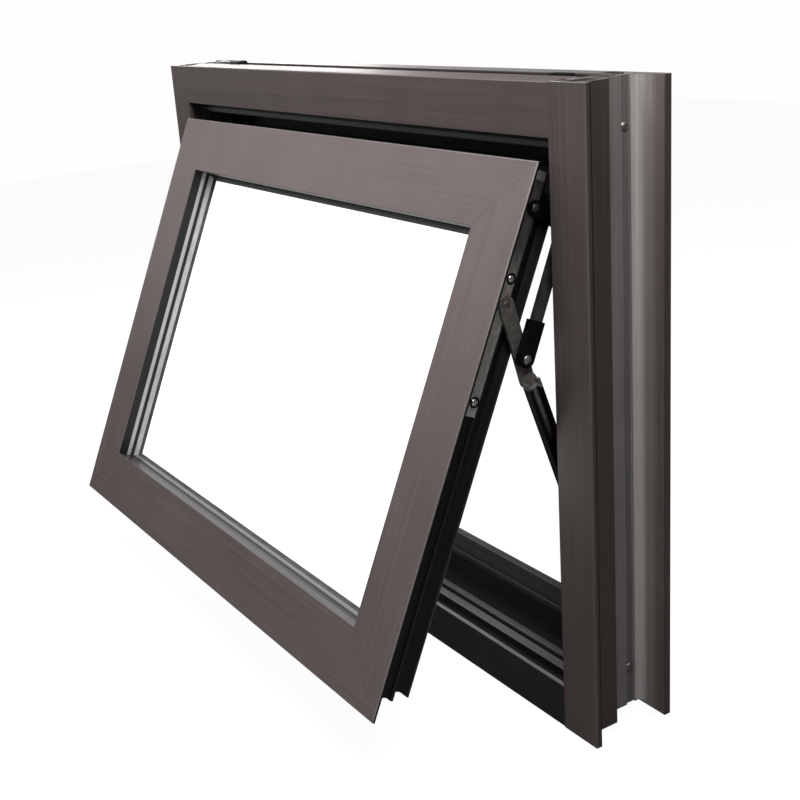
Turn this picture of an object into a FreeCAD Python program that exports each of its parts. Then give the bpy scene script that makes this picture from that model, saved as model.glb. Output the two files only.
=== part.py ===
import FreeCAD, Part
import math
import os

os.makedirs("parts", exist_ok=True)

V = FreeCAD.Vector

# Top hung awning window: aluminium frame with full-height jambs, mitred sash swung out at the
# bottom, side stays.
# Millimetres. X is to the right seen from outside, Y runs into the building, Z is up.
# Sizes are worked out from the frame's front face and lower edge. The pieces are then stored
# with the origin in the middle of the flat face under the sill that bears on the wall.

# Frame
frame_width = 796.0
frame_height = 600.0
frame_depth = 79.0
frame_face = 45.0            # front face of each member, outer edge to opening
frame_plate = 2.5            # thickness of the front plate
frame_wall = 2.2             # walls of the hollow extrusion
edge_bevel = 1.0             # small bevel along the visible outer edges
frame_rim = 6.2              # depth of the rim turned back round the outer edge
body_inset = 9.5             # outer edge of the face to the side of the front chamber
rear_inset = 17.0            # the same for the rear chamber
body_step = 34.0             # where the side steps in
track_front = 53.5           # screw groove along the jamb's outer side
track_width = 10.0
track_sink = 2.0
head_groove_front = 36.0     # one wide groove along the top of the head
head_groove_width = 20.0
head_groove_sink = 6.0
fin_depth = 7.0              # rear flange, measured along Y
fin_jamb = 13.5              # how far the jambs' rear flange stands out past the face
fin_sill = 13.5              # height of the sill's rear flange above the frame's lower edge
fin_cove = 6.0               # rounded corner between the jamb's side and its flange
lip_depth = 4.2              # inner edge of the front plate, measured along Y
drain_depth = 14.2           # groove behind the lip
drain_sink = 9.0
ridge_depth = 9.6            # ridge between the groove and the stay channel
head_drip = 12.0             # how much further the head's ridge hangs down, over the sash
channel_sink = 5.0           # floor of the stay channel below the ridge
rib_front = 42.0             # low rib that closes the stay channel
rib_depth = 2.2
rib_height = 2.2
leg_front = 51.0             # hollow leg the sash closes against
leg_thick = 9.0
leg_low = 30.4               # where the hollow part starts, measured from the face's inner edge
leg_reach = 60.0             # and where it ends
leg_round = 1.0
leg_web = 3.0                # single wall that carries it
head_leg_extra = 8.0         # how much further the head's leg hangs down
rear_reach = 8.0             # inner side of the rear chamber past the face

# Black plug pressed into the head's groove near its left end
plug_middle = -287.5
plug_length = 21.0
plug_rise = 3.5              # how far it stands above the head
plug_round = 2.8
plug_clear = 0.3

# Weather seal pressed on the leg's front
weather_seal_low = 34.0
weather_seal_width = 8.0
weather_seal_gap = 0.5       # left to the back of the shut sash
weather_seal_round = 2.5

# Sash, given as it lies when shut
gap_side = 5.5
gap_top = 5.0
gap_bottom = 12.5
sash_face = 62.5             # face of each sash member
sash_plate = 3.0
sash_wall = 2.0
sash_inset = 16.5            # flange edge to the side of the hollow sash body
sash_depth = 46.0
fin_front = 24.8             # small fin along the sash's side
fin_back = 27.6
fin_rise = 1.9
notch_back = 32.3            # seal groove behind the fin
notch_inset = 24.6
rear_side_inset = 20.8
rear_lip = 3.4               # rear side leans out by this much towards its rear edge
rear_lip_depth = 1.5
rear_lip_from = 5.0          # behind the seal groove, where it starts to lean
bead_seat = 17.4             # depth of the sash's own reveal, where the bead starts
rebate_depth = 29.2          # front face to the glass
rebate_sink = 7.0            # how far the glass pocket goes into the sash
rebate_reach = 5.4           # how far bead, seal and rear lip stand out over the glass
glass_thick = 6.0
glass_clear = 2.0
bead_front_reach = 1.0
bead_back_reach = 2.7
seal_thick = 3.2

# Sash swing between shut and the shown position
open_angle = 24.0
top_forward = 6.8            # how far the top front edge has moved out
top_drop = 13.0              # and down

# Stay: one set on each side
stay_y = 34.0                # line of the fixed pivots in the channel
link_y = 36.5
pivot_depth = 20.0           # pivots of the sash bar behind the sash face
bar_front = 9.4
bar_width = 15.0
bar_thick = 2.5
bar_top = 4.0
bar_length = 215.0
arm_pivot_down = 119.0       # sash top edge to the arm's pivot
link_pivot_down = 35.0
arm_width = 15.0
arm_thick = 3.0
plate_length = 74.0          # sash pivot to the arm's upper end
plate_bow = 3.6              # how far that end stands out of the straight line to the foot
arm_flange = 5.0             # turned edges that stiffen the arm
arm_flange_wall = 2.2
arm_flange_end = 16.0        # from the foot to where they stop
link_width = 13.0
rivet_back = 51.9            # arm's sash pivot to the sleeve's rivet
rod_down = 95.0              # the rod's pivot below the frame's top edge
rod_width = 11.5
rod_thick = 4.0
rod_eye = 6.4
sleeve_width = 15.5
sleeve_thick = 7.0
sleeve_above = 34.0
rod_overlap = 12.0           # rod left in the sleeve at the shown position
layer_gap = 1.0
pin_radius = 3.0
slim_pin = 2.0
pin_clear = 0.3
slide_clear = 0.5
screw_radius = 2.4
screw_above = 55.5           # lower fixing screw above the frame's lower edge
screw_below = 41.0           # upper one below its top edge
rail_front = 29.0
rail_width = 12.0
rail_thick = 3.0
rail_below = 18.0
rail_above = 12.0

half_w = frame_width / 2
fin_front_y = frame_depth - fin_depth
seat_y = (body_step + fin_front_y) / 2
sash_w = frame_width - 2 * (frame_face + gap_side)
sash_top = frame_height - frame_face - gap_top
sash_bottom = frame_face + gap_bottom
half_sash = sash_w / 2


def loop(points):
    """Closed wire through flat points. A third value rounds its corner to that radius."""
    corners = []
    for i, point in enumerate(points):
        corner = V(point[0], point[1], 0)
        if len(point) == 2:
            corners.append([corner])
            continue
        after = points[(i + 1) % len(points)]
        back = (V(points[i - 1][0], points[i - 1][1], 0) - corner).normalize()
        ahead = (V(after[0], after[1], 0) - corner).normalize()
        middle = (back + ahead).normalize()
        half = back.getAngle(ahead) / 2
        start = corner + back * (point[2] / math.tan(half))
        end = corner + ahead * (point[2] / math.tan(half))
        corners.append([start, corner + middle * (point[2] / math.sin(half) - point[2]), end])
    edges = []
    for corner, after in zip(corners, corners[1:] + corners[:1]):
        if len(corner) == 3:
            edges.append(Part.Arc(*corner).toShape())
        edges.append(Part.makeLine(corner[-1], after[0]))
    return Part.Wire(edges)


def section(outer, holes):
    """Flat face with holes: first axis inwards from the member's outer edge, second along Y."""
    face = Part.Face(loop(outer))
    for hole in holes:
        face = face.cut(Part.Face(loop(hole)))
    return face.Faces[0]


def box_loop(a0, a1, b0, b1):
    return [(a0, b0), (a1, b0), (a1, b1), (a0, b1)]


def place(bar, side, edges):
    """Turn a bar built along Z and move it to its side of the rectangle."""
    left, right, low, high = edges
    angle, corner = {"left": (0, V(left, 0, low)), "top": (90, V(left, 0, high)),
                     "right": (180, V(right, 0, high)), "bottom": (-90, V(right, 0, low))}[side]
    bar.rotate(V(0, 0, 0), V(0, 1, 0), angle)
    bar.translate(corner)
    return bar


def side_length(side, edges):
    left, right, low, high = edges
    return right - left if side in ("top", "bottom") else high - low


def straight(face, side, edges, short):
    """Run a section along one side of the rectangle edges = (left, right, low, high), cut
    square and short of the corners by that much at both ends."""
    bar = face.extrude(V(0, 0, side_length(side, edges) - 2 * short))
    bar.translate(V(0, 0, short))
    return place(bar, side, edges)


def mitred(face, side, edges, reach, spare):
    """The same with both ends cut at 45 degrees. The wedge that cuts them is reach wide."""
    length = side_length(side, edges)
    bar = face.extrude(V(0, 0, length + 2 * spare))
    bar.translate(V(0, 0, -spare))
    before = V(0, -frame_depth, 0)
    plan = [V(-spare, 0, -spare), V(-spare, 0, length + spare), V(reach, 0, length - reach), V(reach, 0, reach)]
    plan = [corner + before for corner in plan]
    wedge = Part.Face(Part.makePolygon(plan + [plan[0]])).extrude(V(0, 3 * frame_depth, 0))
    return place(bar.common(wedge), side, edges)


def ring(face, edges, reach, spare):
    sides = [mitred(face, side, edges, reach, spare) for side in ("top", "bottom", "left", "right")]
    return sides[0].fuse(sides[1:]).removeSplitter()


def keep(shape, name):
    solid = max(shape.Solids, key=lambda one: one.Volume).copy()
    solid.translate(V(0, -seat_y, -rear_inset))
    solid.exportStep("parts/" + name + ".step")


# Frame sections, given from the face's outer edge. All four members share the inner side.
frame_edges = (-half_w, half_w, 0, frame_height)
f = frame_face
w = frame_wall
b = edge_bevel
r = rear_inset
drain_back = lip_depth + drain_depth
ridge_back = drain_back + ridge_depth
floor = f - channel_sink
leg_back = leg_front + leg_thick
web_front = leg_back - leg_web
leg_foot = f + leg_low
leg_tip = f + leg_reach
head_leg_tip = leg_tip + head_leg_extra
track_floor = r + track_sink
track_back = track_front + track_width


def inner_side(ridge, tip):
    """From the face past the lip, drain groove, ridge, stay channel and leg to the rear."""
    return [
        (0, b), (b, 0), (f, 0), (f, lip_depth), (f - drain_sink, lip_depth), (f - drain_sink, drain_back),
        (ridge, drain_back), (ridge, ridge_back), (floor, ridge_back), (floor, rib_front),
        (floor + rib_height, rib_front), (floor + rib_height, rib_front + rib_depth),
        (floor, rib_front + rib_depth), (floor, web_front), (leg_foot, web_front),
        (leg_foot, leg_front, leg_round), (tip, leg_front, leg_round), (tip, leg_back, leg_round),
        (f + rear_reach, leg_back), (f + rear_reach, frame_depth)]


def chambers(front, middle, rear, tip):
    """Hollows of one member. Front and rear are where those start, from the outer edge."""
    return [
        box_loop(front, f - drain_sink - w, frame_plate, body_step - w),
        middle + [(floor - w, web_front), (floor - w, body_step)],
        box_loop(rear, f + rear_reach - w, leg_back, frame_depth - w),
        box_loop(leg_foot + w, tip - w, leg_front + w, leg_back - w)]


# Jambs run the full height, with the screw groove and the wide flange outside
jamb_outline = inner_side(f, leg_tip) + [
    (-fin_jamb, frame_depth), (-fin_jamb, fin_front_y), (r, fin_front_y, fin_cove), (r, track_back),
    (track_floor, track_back), (track_floor, track_front), (r, track_front), (r, body_step),
    (body_inset, body_step), (body_inset, frame_rim), (0, frame_rim)]
jamb_middle = [(r + w, body_step), (r + w, track_front - w), (track_floor + w, track_front - w),
               (track_floor + w, web_front)]
jamb_face = section(jamb_outline, chambers(body_inset + w, jamb_middle, track_floor + w, leg_tip))

# The sill's underside steps up towards the rear, and the jambs' feet are cut to the same steps
sill_steps = [(fin_sill, frame_depth), (fin_sill, fin_front_y), (r, fin_front_y), (r, body_step),
              (body_inset, body_step), (body_inset, frame_rim), (0, frame_rim)]
sill_middle = [(r + w, body_step), (r + w, web_front)]
sill_hollows = chambers(body_inset + w, sill_middle, r + w, leg_tip)
sill_face = section(inner_side(f, leg_tip) + sill_steps, sill_hollows)

# The head is level on top but for one groove
head_groove_floor = head_groove_sink + w
head_middle = [(head_groove_floor, body_step), (head_groove_floor, web_front)]
head_face = section(inner_side(f + head_drip, head_leg_tip) + [
    (0, frame_depth), (0, head_groove_front + head_groove_width),
    (head_groove_sink, head_groove_front + head_groove_width), (head_groove_sink, head_groove_front),
    (0, head_groove_front)], chambers(w, head_middle, w, head_leg_tip))

wide = (frame_edges[0] - frame_depth, frame_edges[1] + frame_depth, 0, frame_height)
under_sill = straight(section(sill_steps + [(-r, frame_rim), (-r, frame_depth)], []), "bottom", wide, 0)
for side, away in (("left", -1), ("right", 1)):
    bar = straight(jamb_face, side, frame_edges, 0).cut(under_sill)
    for z in (screw_above, frame_height - screw_below):
        start = V(away * half_w, (track_front + track_back) / 2, z)
        bar = bar.cut(Part.makeCylinder(screw_radius, track_floor + w + 1, start, V(-away, 0, 0)))
    keep(bar, "frame_jamb_" + side)

# Head and sill stand between the jambs, notched where the jambs' legs run through
jambs = [straight(section(jamb_outline, []), side, frame_edges, 0) for side in ("left", "right")]
keep(straight(head_face, "top", frame_edges, f).cut(jambs), "frame_head")
keep(straight(sill_face, "bottom", frame_edges, f).cut(jambs), "frame_sill")

plug_front = head_groove_front + plug_clear
plug_back = leg_front - plug_clear
plug_face = section([
    (head_groove_sink, plug_front), (-plug_rise, plug_front, plug_round), (-plug_rise, plug_back, plug_round),
    (head_groove_sink, plug_back)], [])
plug_edges = (plug_middle - plug_length / 2, plug_middle + plug_length / 2, 0, frame_height)
keep(straight(plug_face, "top", plug_edges, 0), "head_plug")

seal_low = f + weather_seal_low
seal_high = seal_low + weather_seal_width
seal_front = sash_depth + weather_seal_gap
weather_face = section([
    (seal_low, leg_front), (seal_low, seal_front, weather_seal_round),
    (seal_high, seal_front, weather_seal_round), (seal_high, leg_front)], [])
keep(ring(weather_face, frame_edges, leg_tip + 5, 5), "frame_seal")

# Sash, built shut and then swung about its pole, the point that stays put between shut and shown
turn = math.radians(open_angle)
c = math.cos(turn)
s = math.sin(turn)
pole_y = -((1 - c) * top_forward + s * top_drop) / (2 * (1 - c))
pole_z = sash_top + (s * top_forward - (1 - c) * top_drop) / (2 * (1 - c))


def swing(shape):
    shape = shape.copy()
    shape.rotate(V(0, pole_y, pole_z), V(1, 0, 0), -open_angle)
    return shape


def swung(y, z):
    dy = y - pole_y
    dz = z - pole_z
    return (pole_y + dy * c + dz * s, pole_z - dy * s + dz * c)


sash_edges = (-half_sash, half_sash, sash_bottom, sash_top)
g = sash_face
sw = sash_wall
pocket = g - rebate_sink
lip_front = rebate_depth + glass_thick + seal_thick
sash_outer = [
    (0, b), (b, 0), (g - b / 2, 0), (g, b / 2), (g, bead_seat), (pocket, bead_seat), (pocket, lip_front),
    (g + rebate_reach, lip_front), (g + rebate_reach - 1, sash_depth),
    (rear_side_inset - rear_lip, sash_depth), (rear_side_inset - rear_lip, sash_depth - rear_lip_depth),
    (rear_side_inset, notch_back + rear_lip_from), (rear_side_inset, notch_back),
    (notch_inset, notch_back), (notch_inset, fin_back),
    (sash_inset - fin_rise, fin_back), (sash_inset - fin_rise, fin_front), (sash_inset, fin_front),
    (sash_inset, sash_plate), (0, sash_plate)]
sash_front = box_loop(sash_inset + sw, g - sw, sash_plate, bead_seat - sw)
sash_rear = box_loop(notch_inset + sw, pocket - sw, bead_seat, sash_depth - sw)
sash_section = section(sash_outer, [sash_front, sash_rear])
sash_reach = g + rebate_reach + 10
for side, name in (("top", "sash_top_rail"), ("bottom", "sash_bottom_rail"),
                   ("left", "sash_stile_left"), ("right", "sash_stile_right")):
    keep(swing(mitred(sash_section, side, sash_edges, sash_reach, 5)), name)

# Glazing beads, clipped in behind the sash's reveal in front of the glass
bead_back = rebate_depth - seal_thick
bead_section = section([
    (pocket, bead_seat), (g - 1, bead_seat), (g - 1, bead_seat + 1), (g + bead_front_reach, bead_seat + 2.2),
    (g + bead_back_reach, bead_back), (pocket, bead_back)], [])
for side in ("top", "bottom", "left", "right"):
    keep(swing(mitred(bead_section, side, sash_edges, sash_reach, 5)), "glazing_bead_" + side)

# Glass with a wedge seal outside and a flat one inside
glass_edge = pocket + glass_clear
glass = Part.makeBox(sash_w - 2 * glass_edge, glass_thick, sash_top - sash_bottom - 2 * glass_edge,
                     V(-half_sash + glass_edge, rebate_depth, sash_bottom + glass_edge))
keep(swing(glass), "glass_pane")
wedge_face = section([
    (g - 4, bead_back), (g + bead_back_reach, bead_back), (g + rebate_reach, rebate_depth), (g - 4, rebate_depth)], [])
keep(swing(ring(wedge_face, sash_edges, sash_reach, 5)), "glazing_seal_outer")
flat_face = section(box_loop(g - 4, g + rebate_reach - 1, lip_front - seal_thick, lip_front), [])
keep(swing(ring(flat_face, sash_edges, sash_reach, 5)), "glazing_seal_inner")


# Stay geometry: each pivot of the sash bar keeps its distance from its fixed pin
def fixed_pivot(shut, y):
    """The point on the line Y = y that is as far from the pivot when shut as when swung out."""
    out = swung(*shut)
    mid_y = (shut[0] + out[0]) / 2
    mid_z = (shut[1] + out[1]) / 2
    return (y, mid_z - (y - mid_y) * (out[0] - shut[0]) / (out[1] - shut[1]))


def span(p, q):
    return math.hypot(q[0] - p[0], q[1] - p[1])


def lay(shape, p, q, x):
    """Take a shape built along Z from the origin to the line from p to q, at x."""
    lean = math.degrees(math.atan2(q[0] - p[0], q[1] - p[1]))
    shape.rotate(V(0, 0, 0), V(1, 0, 0), -lean)
    shape.translate(V(x, p[0], p[1]))
    return shape


def flat_arm(length, width, thick, hole):
    """Flat bar with round ends and a hole at each end, along Z from the origin."""
    bar = Part.makeBox(thick, width, length, V(0, -width / 2, 0))
    for z in (0, length):
        bar = bar.fuse(Part.makeCylinder(width / 2, thick, V(0, 0, z), V(1, 0, 0)))
    for z in (0, length):
        bar = bar.cut(Part.makeCylinder(hole, thick, V(0, 0, z), V(1, 0, 0)))
    return bar


def both(shape, name):
    keep(shape, name + "_right")
    keep(shape.mirror(V(0, 0, 0), V(1, 0, 0)), name + "_left")


arm_shut = (pivot_depth, sash_top - arm_pivot_down)
link_shut = (pivot_depth, sash_top - link_pivot_down)
arm_top = swung(*arm_shut)
link_top = swung(*link_shut)
arm_foot = fixed_pivot(arm_shut, stay_y)
link_foot = fixed_pivot(link_shut, link_y)
rod_foot = (stay_y, frame_height - rod_down)
reach = span(arm_foot, arm_top)
along = ((arm_foot[0] - arm_top[0]) / reach, (arm_foot[1] - arm_top[1]) / reach)
bend = (arm_top[0] + along[0] * plate_length + along[1] * plate_bow,
        arm_top[1] + along[1] * plate_length - along[0] * plate_bow)
share = rivet_back / span(bend, arm_top)
rivet = tuple(a + (o - a) * share for a, o in zip(arm_top, bend))

x_bar = half_sash - sash_inset
x_plate = x_bar + bar_thick + layer_gap
x_arm = x_plate + arm_thick
x_sleeve = x_arm + layer_gap
x_rod = x_sleeve + (sleeve_thick - rod_thick) / 2
x_rail = half_w - floor - rail_thick
hole = pin_radius + pin_clear

# Plate from the sash bar down to the arm, with the sleeve's rivet
plate = flat_arm(span(bend, arm_top), arm_width, arm_thick, hole)
plate = plate.fuse(Part.makeCylinder(hole, arm_thick, V(0, 0, 0), V(1, 0, 0)))
pin_length = arm_thick + layer_gap + sleeve_thick
plate = plate.fuse(Part.makeCylinder(pin_radius, pin_length, V(0, 0, span(bend, rivet)), V(1, 0, 0)))
both(lay(plate.removeSplitter(), bend, arm_top, x_plate), "stay_plate")

# Arm: a channel whose upper end lies on the plate and whose flat foot turns on the rail's pin
arm = flat_arm(span(arm_foot, bend), arm_width, arm_thick, hole)
arm = arm.fuse(Part.makeCylinder(hole, arm_thick, V(0, 0, span(arm_foot, bend)), V(1, 0, 0)))
flange = Part.makeBox(arm_thick + arm_flange, arm_flange_wall, span(arm_foot, bend) - arm_flange_end)
for y in (-arm_width / 2, arm_width / 2 - arm_flange_wall):
    arm = arm.fuse(flange.translated(V(0, y, arm_flange_end)))
both(lay(arm.removeSplitter(), arm_foot, bend, x_arm), "stay_arm")

link = flat_arm(span(link_foot, link_top), link_width, arm_thick, hole).removeSplitter()
both(lay(link, link_foot, link_top, x_plate), "stay_link")

# Sash bar with its two pivot pins
pin_length = bar_thick + layer_gap + arm_thick
bar = Part.makeBox(bar_thick, bar_width, bar_length, V(x_bar, bar_front, sash_top - bar_top - bar_length))
for y, z in (arm_shut, link_shut):
    bar = bar.fuse(Part.makeCylinder(pin_radius, pin_length, V(x_bar, y, z), V(1, 0, 0)))
both(swing(bar.removeSplitter()), "stay_bar")

# Sleeve turning on the plate's rivet, and the rod that slides in it
sleeve = Part.makeBox(sleeve_thick, sleeve_width, sleeve_above, V(0, -sleeve_width / 2, 0))
sleeve = sleeve.fuse(Part.makeCylinder(sleeve_width / 2, sleeve_thick, V(0, 0, 0), V(1, 0, 0)))
slot_low = 2 * pin_radius
slot_x = (sleeve_thick - rod_thick) / 2 - slide_clear
slot_y = rod_width / 2 + slide_clear
sleeve = sleeve.cut(Part.makeBox(rod_thick + 2 * slide_clear, 2 * slot_y, sleeve_above - slot_low,
                                 V(slot_x, -slot_y, slot_low)))
sleeve = sleeve.cut(Part.makeCylinder(hole, sleeve_thick, V(0, 0, 0), V(1, 0, 0))).removeSplitter()
both(lay(sleeve, rivet, rod_foot, x_sleeve), "stay_sleeve")

rod_line = span(rivet, rod_foot)
rod_low = sleeve_above - rod_overlap
rod = Part.makeBox(rod_thick, rod_width, rod_line - rod_low, V(0, -rod_width / 2, rod_low))
rod = rod.fuse(Part.makeCylinder(rod_eye, rod_thick, V(0, 0, rod_line), V(1, 0, 0)))
rod = rod.cut(Part.makeCylinder(slim_pin + pin_clear, rod_thick, V(0, 0, rod_line), V(1, 0, 0))).removeSplitter()
both(lay(rod, rivet, rod_foot, x_rod), "stay_rod")

# Rail in the jamb's channel with the three fixed pins
rail_low = arm_foot[1] - rail_below
rail = Part.makeBox(rail_thick, rail_width, rod_foot[1] + rail_above - rail_low, V(x_rail, rail_front, rail_low))
for (y, z), x, radius in ((arm_foot, x_arm, pin_radius), (link_foot, x_plate, pin_radius), (rod_foot, x_rod, slim_pin)):
    rail = rail.fuse(Part.makeCylinder(radius, x_rail - x, V(x, y, z), V(1, 0, 0)))
both(rail.removeSplitter(), "stay_rail")
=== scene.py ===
import math

import bpy
import numpy as np
from mathutils import Matrix, Vector


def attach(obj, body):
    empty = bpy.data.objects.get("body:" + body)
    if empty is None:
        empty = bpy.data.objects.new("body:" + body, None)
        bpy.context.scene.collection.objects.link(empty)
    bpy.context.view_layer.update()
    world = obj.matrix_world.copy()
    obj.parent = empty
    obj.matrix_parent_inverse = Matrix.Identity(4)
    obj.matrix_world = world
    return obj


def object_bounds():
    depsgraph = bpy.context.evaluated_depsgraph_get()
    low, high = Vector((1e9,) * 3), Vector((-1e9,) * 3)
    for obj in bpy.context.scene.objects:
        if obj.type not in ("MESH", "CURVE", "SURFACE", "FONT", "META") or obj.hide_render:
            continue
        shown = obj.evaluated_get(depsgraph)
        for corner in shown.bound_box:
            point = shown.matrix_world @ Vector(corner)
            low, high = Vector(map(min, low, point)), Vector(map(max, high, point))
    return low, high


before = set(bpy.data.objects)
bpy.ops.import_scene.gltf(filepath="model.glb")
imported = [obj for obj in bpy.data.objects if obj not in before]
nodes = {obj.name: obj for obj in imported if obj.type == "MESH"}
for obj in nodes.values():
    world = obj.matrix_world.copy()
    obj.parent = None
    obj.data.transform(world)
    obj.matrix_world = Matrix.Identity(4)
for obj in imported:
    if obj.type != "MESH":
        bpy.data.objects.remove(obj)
cad_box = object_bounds()
scene = bpy.context.scene

# Studio
# The window stands on its sill on a pale floor. Soft lamps light it from above, from both
# sides and from behind, and it is seen from outside, from the right and a little above.
scene.view_settings.view_transform = "Standard"

eye = Vector((1.14361, -0.71060, 0.67202))
yaw, pitch, roll = -1.0306, -0.3210, -0.0774
focal_px, centre_x, centre_y, picture_px = 1241.0, 373.27, 390.98, 800.0
sensor_mm = 36.0
forward = Vector((math.sin(yaw) * math.cos(pitch), math.cos(yaw) * math.cos(pitch), math.sin(pitch)))
level = forward.cross(Vector((0, 0, 1))).normalized()
upright = level.cross(forward)
right = math.cos(roll) * level + math.sin(roll) * upright
up = -math.sin(roll) * level + math.cos(roll) * upright
camera_data = bpy.data.cameras.new("camera")
camera_data.sensor_width = sensor_mm
camera_data.lens = focal_px * sensor_mm / picture_px
camera_data.shift_x = (picture_px / 2 - centre_x) / picture_px
camera_data.shift_y = (centre_y - picture_px / 2) / picture_px
camera_data.clip_start = 0.05
camera = bpy.data.objects.new("camera", camera_data)
scene.collection.objects.link(camera)
camera.matrix_world = Matrix.Translation(eye) @ Matrix((right, up, -forward)).transposed().to_4x4()
scene.camera = camera


def seen_directly(tree):
    """One for what the camera sees, also through glass, and nought for light on the window."""
    path = tree.nodes.new("ShaderNodeLightPath")
    larger = tree.nodes.new("ShaderNodeMath")
    larger.operation = "MAXIMUM"
    tree.links.new(path.outputs["Is Camera Ray"], larger.inputs[0])
    tree.links.new(path.outputs["Is Transmission Ray"], larger.inputs[1])
    return larger.outputs[0]


def by_ray(tree, lighting, seen, out):
    """Send one shader to light on the window and the other to what the camera sees."""
    mix = tree.nodes.new("ShaderNodeMixShader")
    tree.links.new(seen_directly(tree), mix.inputs[0])
    tree.links.new(lighting, mix.inputs[1])
    tree.links.new(seen, mix.inputs[2])
    tree.links.new(mix.outputs[0], out.inputs[0])


white = (1, 1, 1, 1)
backdrop_level, ambient_level = 0.99, 0.11
world = bpy.data.worlds.new("studio")
scene.world = world
world.use_nodes = True
tree = world.node_tree
tree.nodes.clear()
backdrop = tree.nodes.new("ShaderNodeBackground")
backdrop.inputs["Color"].default_value = white
backdrop.inputs["Strength"].default_value = backdrop_level
ambient = tree.nodes.new("ShaderNodeBackground")
ambient.inputs["Color"].default_value = white
ambient.inputs["Strength"].default_value = ambient_level
by_ray(tree, ambient.outputs[0], backdrop.outputs[0], tree.nodes.new("ShaderNodeOutputWorld"))

floor_half, floor_gap = 4.0, 0.0005
floor_grey = (0.2, 0.2, 0.2, 1)
shadow_grey = (0.14, 0.14, 0.14, 1)
floor_level = 0.945
floor_z = cad_box[0][2] - floor_gap
floor_corners = [(floor_half * x, floor_half * y, floor_z) for x, y in ((-1, -1), (1, -1), (1, 1), (-1, 1))]
floor_mesh = bpy.data.meshes.new("floor")
floor_mesh.from_pydata(floor_corners, [], [(0, 1, 2, 3)])
floor = bpy.data.objects.new("floor", floor_mesh)
scene.collection.objects.link(floor)
floor_paint = bpy.data.materials.new("floor_paint")
floor_paint.use_nodes = True
tree = floor_paint.node_tree
tree.nodes.clear()
plain = tree.nodes.new("ShaderNodeBsdfDiffuse")
plain.inputs["Color"].default_value = floor_grey
glow = tree.nodes.new("ShaderNodeEmission")
glow.inputs["Color"].default_value = white
glow.inputs["Strength"].default_value = floor_level
shadowed = tree.nodes.new("ShaderNodeBsdfDiffuse")
shadowed.inputs["Color"].default_value = shadow_grey
bright_floor = tree.nodes.new("ShaderNodeAddShader")
tree.links.new(glow.outputs[0], bright_floor.inputs[0])
tree.links.new(shadowed.outputs[0], bright_floor.inputs[1])
by_ray(tree, plain.outputs[0], bright_floor.outputs[0], tree.nodes.new("ShaderNodeOutputMaterial"))
floor_mesh.materials.append(floor_paint)


def soft_light(name, place, target, size, power):
    """A square lamp at place that faces target."""
    data = bpy.data.lights.new(name, "AREA")
    data.shape = "SQUARE"
    data.size = size
    data.energy = power
    lamp = bpy.data.objects.new(name, data)
    scene.collection.objects.link(lamp)
    aim = Vector(target) - Vector(place)
    lamp.matrix_world = Matrix.Translation(place) @ aim.to_track_quat("-Z", "Y").to_matrix().to_4x4()
    lamp.visible_camera = False


soft_light("overhead", place=(0.05, -0.45, 1.6), target=(0.0, -0.1, 0.3), size=0.9, power=17)
soft_light("right_side", place=(0.95, -0.3, 1.15), target=(0.38, 0.0, 0.35), size=0.5, power=6.5)
soft_light("left_front", place=(-1.6, -0.95, 1.0), target=(0.0, -0.1, 0.35), size=1.0, power=3.3)
soft_light("left_rear", place=(-1.25, 0.45, 0.95), target=(-0.38, 0.0, 0.35), size=0.6, power=6)
soft_light("rear", place=(0.35, 2.3, 0.5), target=(0.0, 0.0, 0.3), size=1.2, power=11)

# Outer frame
# Four hollow aluminium extrusions, powder coated in a metallic bronze with fine streaks along
# each bar. Head and sill are cut between the jambs, whose outer side behind the front chamber
# and whose sawn tops are bare metal.
bronze = (0.151, 0.122, 0.114)
# Painted shade in three depths, for sides turned from the light and for hollows, then painted light for
# upturned ledges and a painted sheen for the leg.
bronze_painted_side_shade = (0.082, 0.066, 0.060)
bronze_painted_shade = (0.023, 0.023, 0.024)
bronze_painted_deep_shade = (0.010, 0.010, 0.010)
bronze_painted_ledge_light = (0.240, 0.228, 0.226)
leg_sheen = (0.048, 0.047, 0.047)
seam_dark = (0.100, 0.084, 0.080)
mill_grey = (0.250, 0.232, 0.226)
# Painted shade for the screw groove, a painted highlight behind it, and painted light on the flange that
# fades outwards.
mill_painted_groove_shade = (0.175, 0.165, 0.162)
mill_painted_highlight = (0.560, 0.530, 0.515)
mill_flange_painted_light = (0.400, 0.352, 0.338)
mill_flange_painted_fade = (0.225, 0.186, 0.176)
bare_metal = (0.620, 0.610, 0.600)

# The planes that colours change at, and far for those that run on past a piece's edge.
far = 0.7
face_rear, body_front, leg_back, flange_front, rear_face = -0.0515, -0.019, 0.0062, 0.012, 0.0255
groove_low, groove_high = 0.0005, 0.0105
opening_side, chamber_side, body_side, flange_side = 0.3525, 0.3840, 0.3600, 0.3880
jamb_top, jamb_inner = 0.5826, 0.3530
frame_coat = dict(metal=0.35, rough=0.44, relief=0.12)
across_streaks = (4.0, 330.0, 330.0)
upright_streaks = (330.0, 330.0, 4.0)
cloudy, speckled, grainy = 14.0, 420.0, 2300.0
coat_bump = 0.0004


def along(tree, turn, corner):
    """The object's coordinates counted from corner (y, z) and turned about X by turn."""
    place = tree.nodes.new("ShaderNodeTexCoord")
    turned = tree.nodes.new("ShaderNodeMapping")
    y, z = corner
    turned.inputs["Rotation"].default_value = (turn, 0, 0)
    turned.inputs["Location"].default_value = (0, z * math.sin(turn) - y * math.cos(turn),
                                               -y * math.sin(turn) - z * math.cos(turn))
    tree.links.new(place.outputs["Object"], turned.inputs["Vector"])
    return turned.outputs[0]


def reckon(tree, kind, first, second=None):
    """A Math node of the given kind on sockets or plain numbers."""
    node = tree.nodes.new("ShaderNodeMath")
    node.operation = kind
    for socket, value in zip(node.inputs, (first, second)):
        if value is None:
            continue
        if isinstance(value, (int, float)):
            socket.default_value = value
        else:
            tree.links.new(value, socket)
    return node.outputs[0]


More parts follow.
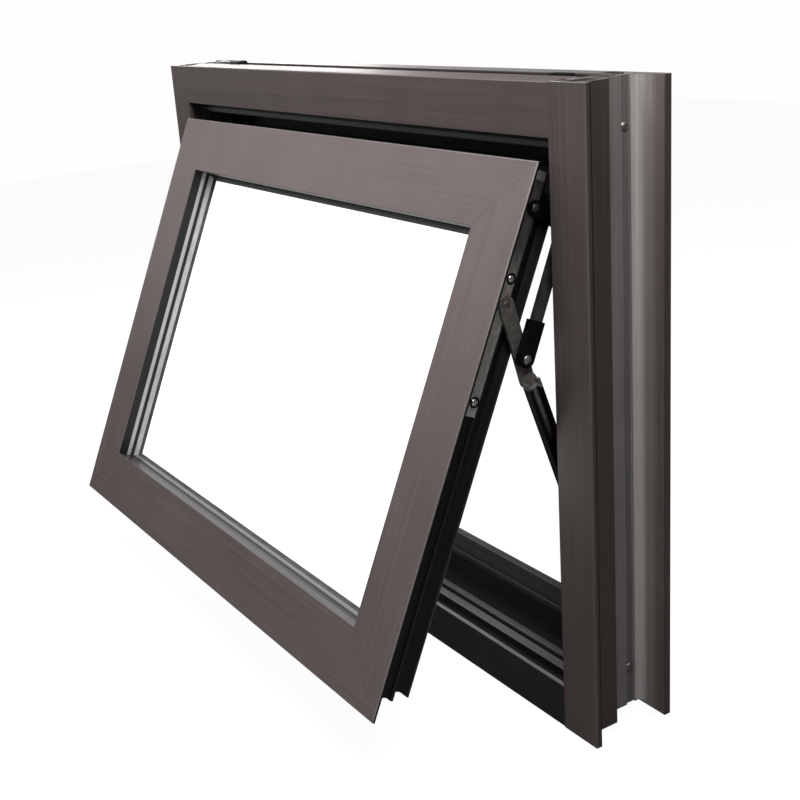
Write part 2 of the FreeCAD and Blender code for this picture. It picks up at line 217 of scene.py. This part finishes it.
def lengths_of(tree, vector):
    """The three lengths that finishes are laid out by: distance from the middle, y and z."""
    split = tree.nodes.new("ShaderNodeSeparateXYZ")
    tree.links.new(vector, split.inputs[0])
    return {"x": reckon(tree, "ABSOLUTE", split.outputs[0]), "y": split.outputs[1], "z": split.outputs[2]}


def lay_frame(tree):
    """Lengths of the frame: x from the middle, y behind the stored origin, z above it."""
    vector = along(tree, 0.0, (0.0, 0.0))
    return vector, lengths_of(tree, vector)


def within(tree, length, low, high, soft):
    """One where length lies between low and high, falling to nought across soft at both ends."""
    away = reckon(tree, "ABSOLUTE", reckon(tree, "SUBTRACT", length, (low + high) / 2))
    fall = tree.nodes.new("ShaderNodeMapRange")
    fall.inputs["From Min"].default_value = (high - low) / 2 + soft / 2
    fall.inputs["From Max"].default_value = (high - low) / 2 - soft / 2
    tree.links.new(away, fall.inputs["Value"])
    return fall.outputs[0]


def zone(paint, soft, **limits):
    """A stretch of a piece given its own colour, used for real colours and for painted light and shade.
    Each limit is (low, high) on one of the piece's lengths, or (low, high, own softness), and its
    ends fade over soft."""
    return paint, soft, limits


def lay_colours(tree, socket, lengths, tone, zones):
    """Give the socket tone, with the colour of each zone laid over it in turn."""
    socket.default_value = tone
    under = None
    for paint, soft, limits in zones:
        mask = None
        for key, (low, high, *own) in limits.items():
            part = within(tree, lengths[key], low, high, own[0] if own else soft)
            mask = part if mask is None else reckon(tree, "MULTIPLY", mask, part)
        mix = tree.nodes.new("ShaderNodeMix")
        mix.data_type = "RGBA"
        tree.links.new(mask, mix.inputs["Factor"])
        mix.inputs["A"].default_value = tone + (1,)
        if under is not None:
            tree.links.new(under, mix.inputs["A"])
        mix.inputs["B"].default_value = paint + (1,)
        under = mix.outputs["Result"]
    if under is not None:
        tree.links.new(under, socket)


def noise(tree, vector, stretch, detail):
    """Noise on coordinates multiplied by stretch, one number or one for each axis: waves to the metre."""
    placed = tree.nodes.new("ShaderNodeVectorMath")
    placed.operation = "MULTIPLY"
    placed.inputs[1].default_value = stretch if isinstance(stretch, tuple) else (stretch,) * 3
    tree.links.new(vector, placed.inputs[0])
    texture = tree.nodes.new("ShaderNodeTexNoise")
    texture.inputs["Scale"].default_value = 1.0
    texture.inputs["Detail"].default_value = detail
    tree.links.new(placed.outputs[0], texture.inputs["Vector"])
    return texture.outputs["Fac"]


def spread(tree, value, low, high, from_low=0.3, from_high=0.7):
    """Value, which runs from from_low to from_high, spread from low to high and cut off there."""
    node = tree.nodes.new("ShaderNodeMapRange")
    node.inputs["From Min"].default_value = from_low
    node.inputs["From Max"].default_value = from_high
    node.inputs["To Min"].default_value = low
    node.inputs["To Max"].default_value = high
    tree.links.new(value, node.inputs["Value"])
    return node.outputs[0]


def metal_finish(name, tone, zones, lay, streaks, metal, rough, relief, patchy=0.12, shine=0.5):
    """Metal skin: zoned colour, streaks of noise stretched along the bar, cloudy patches, small
    bright scuffs, roughness that follows the streaks, and a bump of streaks and grain."""
    material = bpy.data.materials.new(name)
    material.use_nodes = True
    tree = material.node_tree
    tree.nodes.clear()
    out = tree.nodes.new("ShaderNodeOutputMaterial")
    skin = tree.nodes.new("ShaderNodeBsdfPrincipled")
    skin.inputs["Metallic"].default_value = metal
    skin.inputs["Specular IOR Level"].default_value = shine
    vector, lengths = lay(tree)
    streak = noise(tree, vector, streaks, detail=5.0)
    cloud = noise(tree, vector, cloudy, detail=3.0)
    grain = noise(tree, vector, grainy, detail=2.0)
    scuff = noise(tree, vector, speckled, detail=6.0)
    light = reckon(tree, "MULTIPLY", spread(tree, streak, 1 - patchy, 1 + patchy),
                   spread(tree, cloud, 1 - patchy / 2, 1 + patchy / 2))
    light = reckon(tree, "MULTIPLY", light, spread(tree, scuff, 1.0, 1.35, from_low=0.68, from_high=0.80))
    shade = tree.nodes.new("ShaderNodeVectorMath")
    shade.operation = "SCALE"
    lay_colours(tree, shade.inputs[0], lengths, tone, zones)
    tree.links.new(light, shade.inputs["Scale"])
    tree.links.new(shade.outputs[0], skin.inputs["Base Color"])
    tree.links.new(spread(tree, streak, rough - 0.06, rough + 0.08), skin.inputs["Roughness"])
    bump = tree.nodes.new("ShaderNodeBump")
    bump.inputs["Strength"].default_value = relief
    bump.inputs["Distance"].default_value = coat_bump
    tree.links.new(reckon(tree, "ADD", streak, grain), bump.inputs["Height"])
    tree.links.new(bump.outputs[0], skin.inputs["Normal"])
    tree.links.new(skin.outputs[0], out.inputs[0])
    return material


def dress(material, *names):
    """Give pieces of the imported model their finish."""
    for name in names:
        for slot in nodes[name].material_slots:
            slot.material = material


# From the opening outwards, then rearwards: painted shade on the side to the opening, the seam to
# the head and sill, painted shade on the front chamber's side with a painted shadow line along it,
# the body with painted shade in its screw groove and a painted highlight behind that, the flange
# with painted light fading towards its edge, which has painted shade, then its rear, and the sawn
# top with the front wall's cut edge.
jamb_zones = [
    zone(bronze_painted_deep_shade, 0.0006, x=(0.200, opening_side), y=(face_rear, leg_back)),
    zone(seam_dark, 0.0014, x=(0.3515, 0.3534), y=(-far, -0.0500)),
    zone(bronze_painted_side_shade, 0.0010, x=(chamber_side, far), y=(-0.0512, body_front)),
    zone(bronze_painted_deep_shade, 0.0008, x=(chamber_side, far), y=(-0.0480, -0.0462)),
    zone(mill_grey, 0.0010, x=(body_side, far), y=(body_front, far)),
    zone(mill_painted_groove_shade, 0.0010, x=(body_side, 0.3800), y=(groove_low, groove_high)),
    zone(mill_painted_highlight, 0.0020, x=(body_side, 0.3900), y=(groove_high, far)),
    zone(mill_flange_painted_light, 0.0060, x=(flange_side, far), y=(flange_front, far)),
    zone(mill_flange_painted_fade, 0.0080, x=(0.3990, far), y=(flange_front, far)),
    zone(bronze_painted_side_shade, 0.0010, x=(0.4108, far), y=(flange_front, far)),
    zone(bronze, 0.0010, x=(0.200, far), y=(rear_face, far)),
    zone(mill_grey, 0.0004, z=(jamb_top, far), x=(jamb_inner, far)),
    zone(bare_metal, 0.0004, z=(jamb_top, far), x=(jamb_inner, 0.3884), y=(-0.0524, -0.0482))]
# Painted shade on the underside and leg, painted light on the ridge's lower edge, painted shade
# in the groove along the top, and the rear body's top.
head_zones = [
    zone(bronze_painted_deep_shade, 0.0010, z=(0.300, 0.5370), y=(face_rear, leg_back)),
    zone(bronze_painted_ledge_light, 0.0012, z=(0.5268, 0.5312), y=(-0.0360, -0.0330)),
    zone(bronze_painted_deep_shade, 0.0010, z=(0.5765, 0.5825), y=(-0.0172, 0.0032)),
    zone(mill_grey, 0.0010, z=(0.5822, far), y=(0.0030, far))]
# Painted shade on the front and inner side, painted light on the lip's edge, painted shade on the
# drain groove's floor, painted light on the ridge behind it, the stay channel's floor with painted
# light and then painted shade, and a painted sheen on the leg's upper end.
sill_zones = [
    zone(bronze_painted_shade, 0.0008, z=(-far, 0.0272), y=(-far, face_rear)),
    zone(bronze_painted_deep_shade, 0.0008, z=(0.0100, 0.300), y=(face_rear, leg_back)),
    zone(bronze_painted_ledge_light, 0.0008, z=(0.0272, 0.0300), y=(-0.0536, -0.0470)),
    zone(bronze_painted_shade, 0.0060, z=(0.0150, 0.0220), y=(-0.0440, -0.0340)),
    zone(bronze_painted_ledge_light, 0.0008, z=(0.0274, 0.0300), y=(-0.0350, -0.0246)),
    zone(bronze_painted_ledge_light, 0.0030, z=(0.0210, 0.0270), y=(-0.0140, -0.0060)),
    zone(bronze_painted_shade, 0.0030, z=(0.0210, 0.0320), y=(-0.0060, 0.0050)),
    zone(leg_sheen, 0.0060, z=(0.0680, 0.0900), y=(-0.0030, leg_back, 0.0010))]
dress(metal_finish("bronze_jambs", bronze, jamb_zones, lay_frame, upright_streaks, **frame_coat),
      "frame_jamb_left", "frame_jamb_right")
dress(metal_finish("bronze_head", bronze, head_zones, lay_frame, across_streaks, **frame_coat), "frame_head")
dress(metal_finish("bronze_sill", bronze, sill_zones, lay_frame, across_streaks, **frame_coat), "frame_sill")

# Fixing screws
# Zinc-plated pan heads with a cross recess, two in the groove down each jamb's outer side.
# They go through the groove's floor into the wall.
screw_x, screw_y = 0.379, 0.0055
screw_heights = (0.0385, 0.542)
pan_radius, pan_rise = 0.0047, 0.0024
cross_reach, cross_wide, cross_edge, cross_deep = 0.0026, 0.0006, 0.0003, 0.0012
zinc_grey = (0.23, 0.22, 0.21)
fine_speckle = 500.0


def round_head(centre, outward, radius, rise, recess, sides=48, rings=14):
    """A head on a flat face, by distance and angle round its centre. Its height falls from rise
    in the middle to nought at the rim, with the cube of the distance, and is less by the recess
    inside a cross of two bars. The rings are closed by a fan on top and another underneath."""
    outward = np.array(outward, float)
    first = np.array((0.0, 0.0, 1.0))
    second = np.cross(outward, first)
    r = radius * np.linspace(0, 1, rings + 1)[1:, None]
    a = np.linspace(0, 2 * np.pi, sides, endpoint=False)[None, :]
    u, v = r * np.cos(a), r * np.sin(a)
    h = rise * (1 - (r / radius) ** 3) + 0 * a
    narrow = np.clip((cross_wide - np.minimum(np.abs(u), np.abs(v))) / cross_edge, 0, 1)
    short = np.clip((cross_reach - np.maximum(np.abs(u), np.abs(v))) / cross_edge, 0, 1)
    h = np.maximum(h - recess * narrow * short, 0)
    spots = np.array(centre) + u[..., None] * first + v[..., None] * second + h[..., None] * outward
    top = np.array(centre) + max(rise - recess, 0) * outward
    spots = np.vstack((spots.reshape(-1, 3), top, centre))
    here = np.arange(sides)
    after = (here + 1) % sides
    rows = np.arange(rings - 1)[:, None] * sides
    rim = (rings - 1) * sides
    upper = np.stack((np.full(sides, rings * sides), here, after), 1)
    under = np.stack((np.full(sides, rings * sides + 1), rim + after, rim + here), 1)
    rounds = np.stack((rows + here, rows + sides + here, rows + sides + after, rows + after), -1)
    return spots, np.vstack((upper, under)), rounds.reshape(-1, 4)


def fasteners(name, heads, finish):
    """Heads of one kind as one piece. It rides on the window and wears the given finish."""
    spots, faces, count = [], [], 0
    for points, triangles, quads in heads:
        spots.append(points)
        faces += (triangles + count).tolist() + (quads + count).tolist()
        count += len(points)
    mesh = bpy.data.meshes.new(name)
    mesh.from_pydata(np.vstack(spots).tolist(), [], faces)
    mesh.polygons.foreach_set("use_smooth", np.ones(len(faces), bool))
    mesh.materials.append(finish)
    made = bpy.data.objects.new(name, mesh)
    scene.collection.objects.link(made)
    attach(made, "root")


def facing(side):
    """Outwards on the given side, -1 on the left and 1 on the right."""
    return (side, 0.0, 0.0)


zinc = metal_finish("dark_zinc", zinc_grey, [], lay_frame, fine_speckle,
                    metal=0.85, rough=0.33, relief=0.2, patchy=0.25)
for side, word in ((-1, "left"), (1, "right")):
    heads = [round_head((side * screw_x, screw_y, z), facing(side), pan_radius, pan_rise, cross_deep)
             for z in screw_heights]
    fasteners("fixing_screws_" + word, heads, zinc)

# Seals and plug
# Extruded rubber: a black weather seal pressed on the frame's leg and two dark grey glazing
# seals, wedged between the glass and the metal. A moulded black plug sits in the head's groove.
black_rubber = (0.010, 0.010, 0.010)
grey_rubber = (0.055, 0.054, 0.055)
bloomy, pebbled = 70.0, 1800.0
rubber_bump = 0.0002


def rubber_finish(name, tone):
    """Matt rubber with a slight bloom and a fine pebbled bump."""
    material = bpy.data.materials.new(name)
    material.use_nodes = True
    tree = material.node_tree
    tree.nodes.clear()
    out = tree.nodes.new("ShaderNodeOutputMaterial")
    skin = tree.nodes.new("ShaderNodeBsdfPrincipled")
    vector = along(tree, 0.0, (0.0, 0.0))
    bloom = noise(tree, vector, bloomy, detail=4.0)
    pebble = noise(tree, vector, pebbled, detail=2.0)
    shade = tree.nodes.new("ShaderNodeVectorMath")
    shade.operation = "SCALE"
    shade.inputs[0].default_value = tone
    tree.links.new(spread(tree, bloom, 0.7, 1.5), shade.inputs["Scale"])
    tree.links.new(shade.outputs[0], skin.inputs["Base Color"])
    tree.links.new(spread(tree, bloom, 0.5, 0.7), skin.inputs["Roughness"])
    bump = tree.nodes.new("ShaderNodeBump")
    bump.inputs["Strength"].default_value = 0.15
    bump.inputs["Distance"].default_value = rubber_bump
    tree.links.new(pebble, bump.inputs["Height"])
    tree.links.new(bump.outputs[0], skin.inputs["Normal"])
    tree.links.new(skin.outputs[0], out.inputs[0])
    return material


dress(rubber_finish("black_rubber", black_rubber), "frame_seal", "head_plug")
dress(rubber_finish("grey_rubber", grey_rubber), "glazing_seal_outer", "glazing_seal_inner")

# Sash
# The swinging frame: four mitred extrusions in the same coat, hung out 24 degrees at the
# bottom. Its bronze is painted lighter than the frame's, as painted light on the upturned sash.
# Its finish is laid out from its own upper front edge, turned with it.
sash_turn = math.radians(24.0)
sash_corner = (-0.0598, 0.5200)
sash_half, sash_height = 0.3475, 0.4925
lip_back, side_back = 0.0012, 0.0455
sash_bronze_painted_lighter = (0.200, 0.163, 0.155)
# Painted light and shade on the sash: a highlight and a half shade for its reveal, a highlight along its
# face's outer edge, and shade for its sides, less deep along lines.
reveal_painted_highlight = (0.430, 0.425, 0.435)
reveal_painted_half_shade = (0.050, 0.046, 0.047)
edge_painted_highlight = (0.300, 0.272, 0.265)
mitre_dark = (0.100, 0.084, 0.080)
sash_painted_shade = (0.005, 0.005, 0.005)
sash_painted_half_shade_line = (0.030, 0.030, 0.030)
sash_coat = dict(frame_coat, rough=0.42)


def lay_sash(tree):
    """Lengths of the sash: x from the middle, y behind its face, z from its top edge down, the
    distance in from the outer edge, and the offset from the mitre."""
    vector = along(tree, sash_turn, sash_corner)
    lengths = lengths_of(tree, vector)
    inwards = reckon(tree, "SUBTRACT", sash_half, lengths["x"])
    down = reckon(tree, "MULTIPLY", lengths["z"], -1.0)
    rise = reckon(tree, "ADD", lengths["z"], sash_height)
    near = reckon(tree, "MINIMUM", down, rise)
    lengths["edge"] = reckon(tree, "MINIMUM", inwards, near)
    lengths["mitre"] = reckon(tree, "SUBTRACT", inwards, near)
    return vector, lengths


# A painted highlight along the face's outer edge, and its mitre joints.
face_zones = [
    zone(edge_painted_highlight, 0.0005, edge=(-0.010, 0.0011), y=(-far, 0.0010)),
    zone(mitre_dark, 0.0003, mitre=(-0.00025, 0.00025), y=(-far, 0.0010))]
# Painted shade on the outer side, less deep along the edges of its two lips, then painted shade on
# the reveal with a painted highlight on its step.
stile_zones = face_zones + [
    zone(sash_painted_shade, 0.0008, x=(0.3000, far), y=(lip_back, side_back)),
    zone(sash_painted_half_shade_line, 0.0006, x=(0.3000, far), y=(0.0245, 0.0260)),
    zone(sash_painted_half_shade_line, 0.0006, x=(0.3000, far), y=(0.0440, side_back)),
    zone(sash_painted_shade, 0.0006, x=(0.200, 0.2960), y=(0.0008, side_back)),
    zone(reveal_painted_highlight, 0.0006, x=(0.200, 0.2960), y=(0.0115, 0.0162))]
# Painted shade on the reveal's upper side and on the rail's own upper side.
top_zones = face_zones + [
    zone(sash_painted_shade, 0.0008, z=(-0.075, -0.0500), y=(0.0008, side_back)),
    zone(sash_painted_shade, 0.0008, z=(-0.050, far), y=(lip_back, side_back))]
# Painted shade on the rail's underside, then lighter painted shade on the reveal's lower side and
# deep painted shade behind it.
bottom_zones = face_zones + [
    zone(sash_painted_shade, 0.0008, z=(-far, -0.4600), y=(lip_back, side_back)),
    zone(reveal_painted_half_shade, 0.0008, z=(-0.445, -0.4000), y=(0.0006, 0.0110)),
    zone(sash_painted_shade, 0.0008, z=(-0.445, -0.4000), y=(0.0110, side_back))]
dress(metal_finish("sash_stiles", sash_bronze_painted_lighter, stile_zones, lay_sash, upright_streaks, **sash_coat),
      "sash_stile_left", "sash_stile_right")
dress(metal_finish("sash_top", sash_bronze_painted_lighter, top_zones, lay_sash, across_streaks, **sash_coat),
      "sash_top_rail")
dress(metal_finish("sash_bottom", sash_bronze_painted_lighter, bottom_zones, lay_sash, across_streaks, **sash_coat),
      "sash_bottom_rail")

# Glazing beads
# Slim aluminium extrusions that hold the glass. They are clipped in behind the reveal and slope
# to the glass, and the slope of the upright and lower ones has a painted highlight. The top
# one is painted in shade.
bead_painted_highlight = (0.560, 0.555, 0.570)
bead_low_painted_light = (0.175, 0.170, 0.176)
bead_dull = (0.060, 0.058, 0.060)
bead_streaks = (90.0, 330.0, 90.0)
bead_coat = dict(metal=0.35, rough=0.40, relief=0.10)
bead_shaded = dict(metal=0.0, rough=0.70, relief=0.10, shine=0.1)
upright_bead = [zone(bead_painted_highlight, 0.0006, y=(0.0205, 0.0262))]
low_bead = [zone(bead_low_painted_light, 0.0006, y=(0.0208, 0.0248))]
dress(metal_finish("beads_upright", bead_dull, upright_bead, lay_sash, bead_streaks, **bead_coat),
      "glazing_bead_left", "glazing_bead_right")
dress(metal_finish("bead_low_painted_light", bead_dull, low_bead, lay_sash, bead_streaks, **bead_coat),
      "glazing_bead_bottom")
dress(metal_finish("bead_high", sash_painted_shade, [], lay_sash, bead_streaks, **bead_shaded),
      "glazing_bead_top")

# Pane
# White opal glass, 6 mm thick, held between the two glazing seals. A milky body lies under a
# glossy, faintly wavy face. It also glows with light of its own at full strength, a painted glow
# that keeps it white in shade.
pane_white = (0.45, 0.45, 0.45)
pane_painted_glow = 1.0
wavy, wave_bump = 9.0, 0.0003
white_glass = bpy.data.materials.new("white_glass")
white_glass.use_nodes = True
tree = white_glass.node_tree
tree.nodes.clear()
glass = tree.nodes.new("ShaderNodeBsdfPrincipled")
glass.inputs["Emission Color"].default_value = white
glass.inputs["Emission Strength"].default_value = pane_painted_glow
glass.inputs["Coat Weight"].default_value = 0.3
glass.inputs["Coat Roughness"].default_value = 0.03
wave = noise(tree, along(tree, sash_turn, sash_corner), wavy, detail=2.0)
shade = tree.nodes.new("ShaderNodeVectorMath")
shade.operation = "SCALE"
shade.inputs[0].default_value = pane_white
tree.links.new(spread(tree, wave, 0.98, 1.0), shade.inputs["Scale"])
tree.links.new(shade.outputs[0], glass.inputs["Base Color"])
tree.links.new(spread(tree, wave, 0.06, 0.12), glass.inputs["Roughness"])
bump = tree.nodes.new("ShaderNodeBump")
bump.inputs["Strength"].default_value = 0.05
bump.inputs["Distance"].default_value = wave_bump
tree.links.new(wave, bump.inputs["Height"])
tree.links.new(bump.outputs[0], glass.inputs["Normal"])
tree.links.new(glass.outputs[0], tree.nodes.new("ShaderNodeOutputMaterial").inputs[0])
dress(white_glass, "glass_pane")

# Stays
# A friction stay on each side, of pressed steel: grey bar and plate, blackened channel arm, link
# and sleeve, and a dark grey rod. Their pins are closed with round rivets, and the bar is screwed
# to the sash's side through dark countersinks.
bar_x, plate_x, sleeve_x = 0.3335, 0.3375, 0.3455
pivot_depth, screw_depth = 0.020, 0.0198
bar_screws = (0.0344, 0.0973, 0.2062)
pivot_drops = (0.035, 0.119)
bar_low = 0.219
sleeve_pin = (-0.07625, 0.35309)
arm_top, arm_foot = (-0.0704, 0.3317), (-0.0190, 0.1857)
arm_turn = -math.atan2(arm_foot[0] - arm_top[0], arm_top[1] - arm_foot[1])
bar_head = dict(radius=0.0034, rise=0.0013, recess=0.0007)
bar_sink = dict(radius=0.0052, rise=0.0003, recess=0.0)
pivot_rivet = dict(radius=0.0034, rise=0.0008, recess=0.0)
sleeve_rivet = dict(radius=0.0042, rise=0.0014, recess=0.0)
bar_tone = (0.540, 0.522, 0.492)
bar_shade = (0.180, 0.175, 0.167)
plate_tone = (0.255, 0.242, 0.226)
arm_sheen = (0.300, 0.300, 0.305)
bright_steel_and_highlight = (0.620, 0.610, 0.600)
black_tone = (0.008, 0.008, 0.009)
rod_tone = (0.085, 0.085, 0.092)
rivet_tone = (0.52, 0.50, 0.48)
rolled = 240.0
pressed_steel = dict(metal=0.75, relief=0.2, patchy=0.25)
blackened_steel = dict(metal=0.6, relief=0.15, patchy=0.25)


def lay_arm(tree):
    """Lengths of the arm: y across it from its middle line, z from its upper pivot line down."""
    vector = along(tree, arm_turn, arm_top)
    return vector, lengths_of(tree, vector)


def on_sash(x, drop, depth):
    """The point that lies drop below the sash's top edge and depth behind its face."""
    c, s = math.cos(sash_turn), math.sin(sash_turn)
    return (x, sash_corner[0] + depth * c - drop * s, sash_corner[1] - depth * s - drop * c)


# The bar has painted shade near the head and is brighter at both ends. The arm has a painted
# sheen along its web, and at its upper end the grey plate lies on it, with a painted highlight
# along its lower edge.
bar_zones = [
    zone(bar_shade, 0.0300, z=(-0.0850, 0.0200)),
    zone(bright_steel_and_highlight, 0.0010, z=(-bar_low - 0.010, -bar_low + 0.0060)),
    zone(bright_steel_and_highlight, 0.0020, z=(-0.0120, 0.010))]
arm_zones = [
    zone(arm_sheen, 0.0030, y=(0.0000, 0.0034), z=(-0.0450, 0.0100, 0.0400)),
    zone(plate_tone, 0.0030, z=(-0.0048, 0.020)),
    zone(bright_steel_and_highlight, 0.0016, y=(-0.0045, 0.0062), z=(-0.0085, -0.0052))]
bar_steel = metal_finish("bar_steel", bar_tone, bar_zones, lay_sash, rolled, rough=0.40, **pressed_steel)
plate_steel = metal_finish("plate_steel", plate_tone, [], lay_frame, rolled, rough=0.42, **pressed_steel)
arm_steel = metal_finish("arm_steel", black_tone, arm_zones, lay_arm, rolled, rough=0.38, **blackened_steel)
black_steel = metal_finish("black_steel", black_tone, [], lay_frame, rolled, rough=0.42, **blackened_steel)
rod_steel = metal_finish("rod_steel", rod_tone, [], lay_frame, rolled, rough=0.42, **blackened_steel)
rivet_steel = metal_finish("rivet_steel", rivet_tone, [], lay_frame, fine_speckle,
                           metal=0.9, rough=0.28, relief=0.1, patchy=0.2)
for side, word in ((-1, "left"), (1, "right")):
    dress(bar_steel, "stay_bar_" + word)
    dress(plate_steel, "stay_plate_" + word, "stay_rail_" + word)
    dress(arm_steel, "stay_arm_" + word)
    dress(black_steel, "stay_sleeve_" + word, "stay_link_" + word)
    dress(rod_steel, "stay_rod_" + word)
    screw_places = [on_sash(side * bar_x, drop, screw_depth) for drop in bar_screws]
    pivot_places = [on_sash(side * plate_x, drop, pivot_depth) for drop in pivot_drops]
    sleeve_place = (side * sleeve_x, *sleeve_pin)
    outward = facing(side)
    fasteners("bar_sinks_" + word, [round_head(place, outward, **bar_sink) for place in screw_places],
              black_steel)
    fasteners("bar_screws_" + word, [round_head(place, outward, **bar_head) for place in screw_places],
              rivet_steel)
    fasteners("pivot_rivets_" + word, [round_head(place, outward, **pivot_rivet) for place in pivot_places],
              zinc)
    fasteners("sleeve_rivet_" + word, [round_head(sleeve_place, outward, **sleeve_rivet)],
              rivet_steel)
